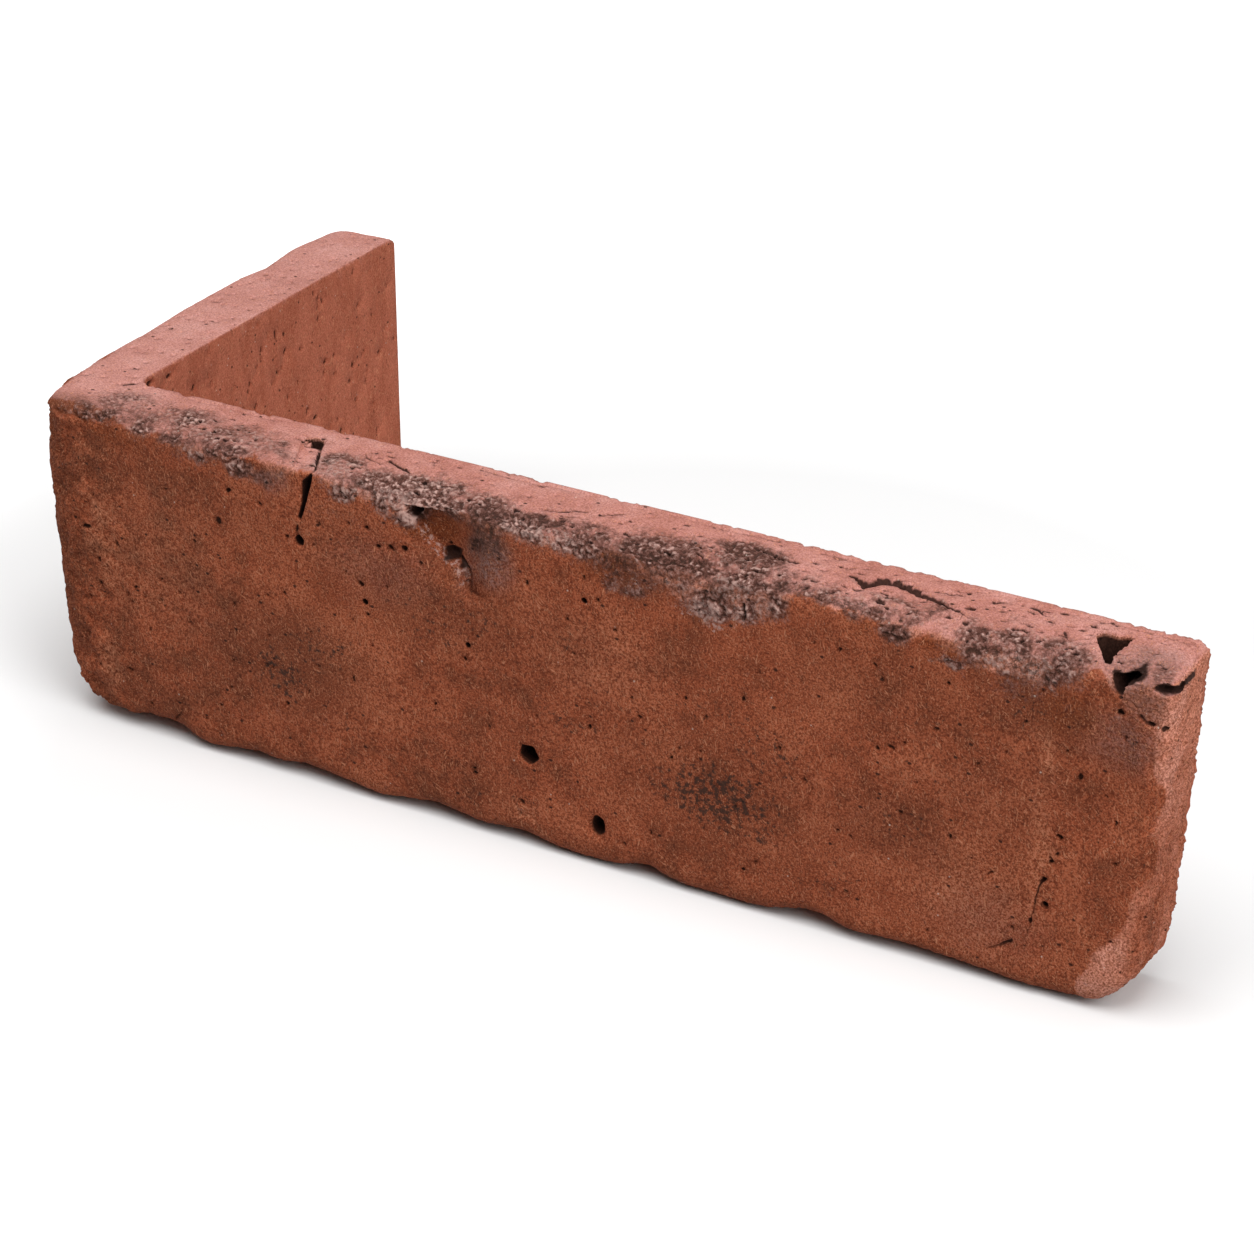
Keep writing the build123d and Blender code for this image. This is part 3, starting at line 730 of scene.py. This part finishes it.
class NodeBench:
    # short calls for building one material's node tree
    def __init__(self, material):
        material.use_nodes = True
        self.tree = material.node_tree
        self.shader = self.tree.nodes["Principled BSDF"]
        place = self.tree.nodes.new("ShaderNodeTexCoord").outputs["Object"]
        self.place = self.vector("SCALE", place, scale=1 / mm)

    def plug(self, value, socket):
        if isinstance(value, bpy.types.NodeSocket):
            self.tree.links.new(value, socket)
        elif isinstance(value, tuple) and socket.type == "RGBA":
            socket.default_value = (*value, 1)
        else:
            socket.default_value = value

    def vector(self, operation, first, second=None, scale=None):
        node = self.tree.nodes.new("ShaderNodeVectorMath")
        node.operation = operation
        self.plug(first, node.inputs[0])
        if second is not None:
            self.plug(second, node.inputs[1])
        if scale is not None:
            self.plug(scale, node.inputs["Scale"])
        return node.outputs["Vector"]

    def noise(self, size, detail=3.0, rough=0.55, shift=0.0, stretch=(1, 1, 1), output="Fac"):
        node = self.tree.nodes.new("ShaderNodeTexNoise")
        moved = self.vector("MULTIPLY_ADD", self.place, tuple(1 / (size * s) for s in stretch))
        moved.node.inputs[2].default_value = (shift, 1.7 * shift, -2.3 * shift)
        self.plug(moved, node.inputs["Vector"])
        node.inputs["Scale"].default_value = 1.0
        node.inputs["Detail"].default_value = detail
        node.inputs["Roughness"].default_value = rough
        return node.outputs[output]

    def curled(self, size, reach):
        # places pushed about, so that straight marks come out curled
        push = self.vector("SUBTRACT", self.noise(size, 1.0, 0.5, 41, output="Color"), (0.5, 0.5, 0.5))
        return self.vector("ADD", self.place, self.vector("SCALE", push, scale=reach))

    def hairs(self, place, long, thin, turn, shift):
        # noise drawn out along one direction
        mapping = self.tree.nodes.new("ShaderNodeMapping")
        mapping.vector_type = "TEXTURE"
        self.plug(place, mapping.inputs["Vector"])
        mapping.inputs["Location"].default_value = (shift, 2 * shift, 3 * shift)
        mapping.inputs["Rotation"].default_value = turn
        mapping.inputs["Scale"].default_value = (long, thin, thin)
        node = self.tree.nodes.new("ShaderNodeTexNoise")
        self.plug(mapping.outputs[0], node.inputs["Vector"])
        node.inputs["Scale"].default_value = 1.0
        node.inputs["Detail"].default_value = 1.0
        return node.outputs["Fac"]

    def grains(self, size, shift=0.0, stretch=(1, 1, 1)):
        # distance to the nearest grain, and a value of its own for each grain
        node = self.tree.nodes.new("ShaderNodeTexVoronoi")
        moved = self.vector("MULTIPLY_ADD", self.place, tuple(1 / (size * s) for s in stretch))
        moved.node.inputs[2].default_value = (shift, -shift, 2 * shift)
        self.plug(moved, node.inputs["Vector"])
        node.inputs["Scale"].default_value = 1.0
        return node.outputs["Distance"], self.part(node.outputs["Color"])

    def part(self, colour):
        node = self.tree.nodes.new("ShaderNodeSeparateColor")
        self.plug(colour, node.inputs[0])
        return node.outputs[0]

    def zone(self, name):
        node = self.tree.nodes.new("ShaderNodeAttribute")
        node.attribute_name = name
        return node.outputs["Fac"]

    def sum(self, operation, first, second=0.0, third=0.0):
        node = self.tree.nodes.new("ShaderNodeMath")
        node.operation = operation
        for value, socket in zip((first, second, third), node.inputs):
            self.plug(value, socket)
        return node.outputs[0]

    def between(self, value, low, high, start=0.0, end=1.0):
        node = self.tree.nodes.new("ShaderNodeMapRange")
        node.interpolation_type = "SMOOTHSTEP"
        for item, socket in zip((value, low, high, start, end), node.inputs):
            self.plug(item, socket)
        return node.outputs[0]

    def mix(self, share, first, second, blend="MIX"):
        node = self.tree.nodes.new("ShaderNodeMix")
        node.data_type = "RGBA"
        node.blend_type = blend
        self.plug(share, node.inputs[0])
        self.plug(first, node.inputs[6])
        self.plug(second, node.inputs[7])
        return node.outputs[2]

    def tones(self, value, stops):
        node = self.tree.nodes.new("ShaderNodeValToRGB")
        ramp = node.color_ramp
        while len(ramp.elements) < len(stops):
            ramp.elements.new(0.5)
        for element, (at, colour) in zip(ramp.elements, stops):
            element.position = at
            element.color = (*colour, 1)
        self.plug(value, node.inputs[0])
        return node.outputs[0]

    def speckle(self, field, zone, least, span, edge):
        # specks of a field that grow denser as the zone gets stronger
        low = self.sum("MULTIPLY_ADD", zone, -span, least)
        specks = self.between(field, low, self.sum("ADD", low, edge))
        return self.sum("MULTIPLY", specks, self.between(zone, 0.0, 0.35, 0.0, 0.9))


def clayTones(bench, mottle, grain):
    # broken body, dusty beds, sawn backs, and the sanded skin with a broken edge
    zone = bench.zone
    blotch = bench.sum("MULTIPLY_ADD", mottle, 0.6, bench.sum("MULTIPLY", bench.noise(30, 4), 0.4))
    upright = bench.noise(5, 4, 0.6, 5, (1, 1, 3))
    skinTone = bench.tones(blotch, clay["skin"])
    colour = bench.mix(zone("sawn"), bench.tones(blotch, clay["body"]), bench.tones(upright, clay["sawn"]))
    chalkShare = bench.sum("MULTIPLY", zone("chalk"), 0.35)
    bedTone = bench.mix(chalkShare, bench.tones(blotch, clay["bed"]), clay["chalk"])
    colour = bench.mix(zone("bed"), colour, bedTone)
    footShare = bench.sum("MULTIPLY", zone("end"), bench.between(upright, 0.35, 0.65, 0.35, 0.95))
    colour = bench.mix(footShare, colour, skinTone)
    skinRim = bench.sum("MULTIPLY_ADD", grain, 0.9, zone("skin"))
    return bench.mix(bench.between(skinRim, 0.72, 1.12), colour, skinTone)


def stained(bench, colour, mottle, grain):
    # each stain lies unevenly: the noise that breaks it up, and its least and most share
    for name, field, low, high, least, most in (
        ("dust", grain, 0.38, 0.60, 0.0, 1.0),
        ("scorch", grain, 0.30, 0.62, 0.45, 0.95),
        ("rust", mottle, 0.30, 0.60, 0.60, 1.0),
        ("ash", grain, 0.35, 0.62, 0.35, 1.0),
    ):
        share = bench.sum("MULTIPLY", bench.zone(name), bench.between(field, low, high, least, most))
        colour = bench.mix(share, colour, clay[name])
    return colour


def strawHairs(bench):
    # curled light and dark hairs in three directions
    curled = bench.curled(4.0, 2.4)
    light = dark = 0.0
    for turn, shift in (((0.3, 0.7, 0.4), 5), ((-0.5, -0.6, 1.3), 17), ((0.9, 1.5, 0.2), 31)):
        field = bench.hairs(curled, 2.2, 0.25, turn, shift)
        light = bench.sum("MAXIMUM", light, bench.between(field, 0.65, 0.72))
        dark = bench.sum("MAXIMUM", dark, bench.between(field, 0.33, 0.27))
    return light, dark


def grained(bench, colour, speck, softer, light, dark):
    toned = bench.tones(speck, clay["grain"])
    toned = bench.mix(bench.between(softer, 0.2, 0.9, 0.0, 0.55), toned, (1.0, 1.0, 1.0))
    colour = bench.mix(1.0, colour, toned, "MULTIPLY")
    colour = bench.mix(bench.sum("MULTIPLY", light, 0.6), colour, clay["straw"])
    return bench.mix(bench.sum("MULTIPLY", dark, 0.6), colour, clay["scorch"])


def crustCrumbs(bench):
    # the crumbs' tone from gap to crest, with painted shade in the gaps and a painted highlight on the crests
    # from the relief, and how far the crust covers the clay
    zone = bench.zone
    lift = bench.sum("SUBTRACT", zone("relief"), 0.5)
    bias = bench.sum("SUBTRACT", zone("lime"), zone("soot"))
    crumbs = bench.sum("MULTIPLY_ADD", lift, 0.38, bench.noise(0.8, 5, 0.72, 23))
    crumbs = bench.sum("MULTIPLY_ADD", bias, 0.07, crumbs)
    crustEdge = bench.sum("MULTIPLY_ADD", bench.noise(2.6, 4, 0.65, 29), 0.7, zone("crust"))
    crustEdge = bench.sum("MULTIPLY_ADD", bench.noise(0.6, 3, 0.7, 37), 1.0, crustEdge)
    return crumbs, bench.between(crustEdge, 0.92, 1.68, 0.0, 0.92)


def crusted(bench, colour, crumbs, crustShare):
    # soot and painted shade in the gaps between the crumbs, lime and a painted highlight on their crests
    stops = (0.36, 0.46, 0.55, 0.67)
    names = ("soot", "crumbDark", "crumbPale", "lime")
    crustTone = bench.tones(crumbs, [(stop, clay[name]) for stop, name in zip(stops, names)])
    return bench.mix(crustShare, colour, crustTone)


def specked(bench, colour, crustShare):
    # specks of lime and soot, with little soot on the crust, and grains of sand
    limeShare = bench.speckle(bench.noise(0.9, 4, 0.7, 21), bench.zone("lime"), 0.72, 0.30, 0.14)
    colour = bench.mix(bench.sum("MULTIPLY", limeShare, 0.8), colour, clay["lime"])
    sootShare = bench.speckle(bench.noise(1.1, 5, 0.72, 17), bench.zone("soot"), 0.71, 0.31, 0.11)
    sootShare = bench.sum("MULTIPLY", sootShare, bench.between(crustShare, 0.1, 0.8, 1.0, 0.22))
    colour = bench.mix(sootShare, colour, clay["soot"])
    sandGap, sandDraw = bench.grains(1.9, 4)
    sandShare = bench.sum("MULTIPLY", bench.between(sandGap, 0.12, 0.06), bench.between(sandDraw, 0.91, 0.93))
    return bench.mix(bench.sum("MULTIPLY", sandShare, 0.6), colour, clay["sand"])


def blackPores(bench):
    # near-black specks: painted shade in small pores, which the bump also presses in
    poreGap, poreDraw = bench.grains(2.0, 9, (1.4, 1, 1))
    return bench.sum("MULTIPLY", bench.between(poreGap, 0.17, 0.09), bench.between(poreDraw, 0.66, 0.70))


def paintedHollowShade(bench):
    # painted shade: dark where nearby clay closes a place in, in pits and in clefts
    deep = bench.between(bench.zone("closed"), 0.30, 0.72)
    hole = bench.sum("MAXIMUM", deep, bench.between(bench.zone("pitted"), 0.25, 0.75, 0.0, 0.95))
    hole = bench.sum("MAXIMUM", hole, bench.zone("cleft"))
    return bench.sum("MULTIPLY", hole, 0.96)


def firedClay():
    material = bpy.data.materials.new("fired_clay")
    bench = NodeBench(material)
    mottle = bench.noise(7, 5, 0.6, 3)
    grain = bench.noise(0.85, 4, 0.65, 7)
    fine = bench.noise(0.36, 2, 0.6, 11)
    speck = bench.sum("MULTIPLY_ADD", fine, 0.7, bench.sum("MULTIPLY", grain, 0.3))
    softer = bench.sum("MAXIMUM", bench.zone("bed"), bench.zone("sawn"))
    light, dark = strawHairs(bench)
    crumbs, crustShare = crustCrumbs(bench)
    poreShare = blackPores(bench)

    colour = clayTones(bench, mottle, grain)
    colour = stained(bench, colour, mottle, grain)
    colour = grained(bench, colour, speck, softer, light, dark)
    colour = crusted(bench, colour, crumbs, crustShare)
    colour = specked(bench, colour, crustShare)
    # painted shade in the small pores
    colour = bench.mix(bench.sum("MULTIPLY", poreShare, 0.85), colour, clay["pore"])
    colour = bench.mix(paintedHollowShade(bench), colour, clay["pore"])
    bench.plug(colour, bench.shader.inputs["Base Color"])
    bench.plug(bench.between(grain, 0.3, 0.7, *clay["roughness"]), bench.shader.inputs["Roughness"])
    bench.shader.inputs["Specular IOR Level"].default_value = clay["shine"]

    # fine relief: full on skin and crumbs, softer on beds and sawn backs
    height = bench.sum("MULTIPLY_ADD", fine, 0.6, grain)
    height = bench.sum("MULTIPLY_ADD", light, 0.3, height)
    height = bench.sum("MULTIPLY", height, bench.between(softer, 0.2, 0.9, 1.0, 0.4))
    crumbHeight = bench.sum("MULTIPLY", crustShare, bench.between(crumbs, 0.35, 0.68, -0.9, 1.5))
    height = bench.sum("ADD", height, crumbHeight)
    height = bench.sum("MULTIPLY_ADD", poreShare, -0.9, height)
    bump = bench.tree.nodes.new("ShaderNodeBump")
    bump.inputs["Distance"].default_value = clay["grainDepth"]
    bench.plug(height, bump.inputs["Height"])
    bench.plug(bump.outputs["Normal"], bench.shader.inputs["Normal"])
    return material


slip.data.materials.clear()
slip.data.materials.append(firedClay())
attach(slip, "root")
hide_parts("corner_slip")
print("finish on", slip.name)

# Studio: pale floor, soft light from above, white surroundings

studio = {
    "floorHalf": 1.5,  # m
    "floorColour": (0.58, 0.58, 0.58),
    "floorSeen": (0.80, 5.5),  # beside the brick and far off
    "floorFade": (0.12, 1.5),  # m from the middle
    "darkBelow": 0.35,  # the sky gives no light below this height
    "overheadLight": 0.60,
    "topLamp": {"place": (-0.02, -0.32, 1.10), "aim": (0.02, 0.0, 0.03), "size": 1.1, "power": 11.6},
    "sideLamp": {"place": (1.05, -0.42, 0.78), "aim": (0.02, 0.0, 0.03), "size": 1.0, "power": 11.0},
}


def fill(tree, value, socket):
    if isinstance(value, bpy.types.NodeSocket):
        tree.links.new(value, socket)
    else:
        socket.default_value = (*value, 1)


def seenOrLit(tree, seen, lit):
    # one value for what the camera, mirrors and glass see, another for the light that is cast
    path = tree.nodes.new("ShaderNodeLightPath")
    total = tree.nodes.new("ShaderNodeMath")
    total.operation = "MAXIMUM"
    tree.links.new(path.outputs["Is Camera Ray"], total.inputs[0])
    both = tree.nodes.new("ShaderNodeMath")
    both.operation = "MAXIMUM"
    tree.links.new(path.outputs["Is Glossy Ray"], both.inputs[0])
    tree.links.new(path.outputs["Is Transmission Ray"], both.inputs[1])
    tree.links.new(both.outputs[0], total.inputs[1])
    choice = tree.nodes.new("ShaderNodeMix")
    choice.data_type = "RGBA"
    fill(tree, lit, choice.inputs[6])
    fill(tree, seen, choice.inputs[7])
    tree.links.new(total.outputs[0], choice.inputs[0])
    return choice.outputs[2]


def paleFloor():
    half = studio["floorHalf"]
    mesh = bpy.data.meshes.new("studio_floor")
    corners = [(-half, -half, 0), (half, -half, 0), (half, half, 0), (-half, half, 0)]
    mesh.from_pydata(corners, [], [(0, 1, 2, 3)])
    floor = bpy.data.objects.new("studio_floor", mesh)
    bpy.context.scene.collection.objects.link(floor)
    material = bpy.data.materials.new("pale_floor")
    material.use_nodes = True
    tree = material.node_tree
    tree.nodes.remove(tree.nodes["Principled BSDF"])
    matt = tree.nodes.new("ShaderNodeBsdfDiffuse")
    place = tree.nodes.new("ShaderNodeTexCoord").outputs["Object"]
    reach = tree.nodes.new("ShaderNodeVectorMath")
    reach.operation = "LENGTH"
    tree.links.new(place, reach.inputs[0])
    fade = tree.nodes.new("ShaderNodeMapRange")
    fade.inputs["From Min"].default_value, fade.inputs["From Max"].default_value = studio["floorFade"]
    fade.inputs["To Min"].default_value, fade.inputs["To Max"].default_value = studio["floorSeen"]
    tree.links.new(reach.outputs["Value"], fade.inputs["Value"])
    tree.links.new(seenOrLit(tree, fade.outputs[0], studio["floorColour"]), matt.inputs["Color"])
    tree.links.new(matt.outputs[0], tree.nodes["Material Output"].inputs["Surface"])
    mesh.materials.append(material)


def softLamp(name, lamp):
    light = bpy.data.lights.new(name, "AREA")
    light.shape = "DISK"
    light.size = lamp["size"]
    light.energy = lamp["power"]
    holder = bpy.data.objects.new(name, light)
    holder.location = lamp["place"]
    aim = Vector(lamp["aim"]) - Vector(lamp["place"])
    holder.rotation_euler = aim.to_track_quat("-Z", "Y").to_euler()
    bpy.context.scene.collection.objects.link(holder)


def skyLight(tree):
    # dark low down, bright overhead
    direction = tree.nodes.new("ShaderNodeTexCoord").outputs["Generated"]
    split = tree.nodes.new("ShaderNodeSeparateXYZ")
    tree.links.new(direction, split.inputs[0])
    fade = tree.nodes.new("ShaderNodeMapRange")
    fade.inputs["From Min"].default_value = studio["darkBelow"]
    fade.inputs["To Max"].default_value = studio["overheadLight"]
    tree.links.new(split.outputs["Z"], fade.inputs["Value"])
    return fade.outputs[0]


def surroundings():
    world = bpy.data.worlds.new("studio_white")
    bpy.context.scene.world = world
    world.use_nodes = True
    tree = world.node_tree
    sky = seenOrLit(tree, (1.0, 1.0, 1.0), skyLight(tree))
    tree.links.new(sky, tree.nodes["Background"].inputs["Color"])


paleFloor()
softLamp("top_lamp", studio["topLamp"])
softLamp("side_lamp", studio["sideLamp"])
surroundings()
bpy.context.scene.view_settings.view_transform = "Standard"
print("studio set")

# Camera where the photographer stood: mm from the brick's lower outer corner, then degrees
shot = {"place": (393.67, -461.13, 322.09), "down": 27.16, "round": 29.71, "lens": 100.0, "sensor": 36.0}


def photographer():
    camera = bpy.data.cameras.new("photographer")
    camera.lens = shot["lens"]
    camera.sensor_width = shot["sensor"]
    holder = bpy.data.objects.new("photographer", camera)
    holder.location = cadBox[0] + Vector(shot["place"]) * mm
    holder.rotation_euler = (math.radians(90 - shot["down"]), 0, math.radians(shot["round"]))
    bpy.context.scene.collection.objects.link(holder)
    bpy.context.scene.camera = holder


photographer()
print("camera set")
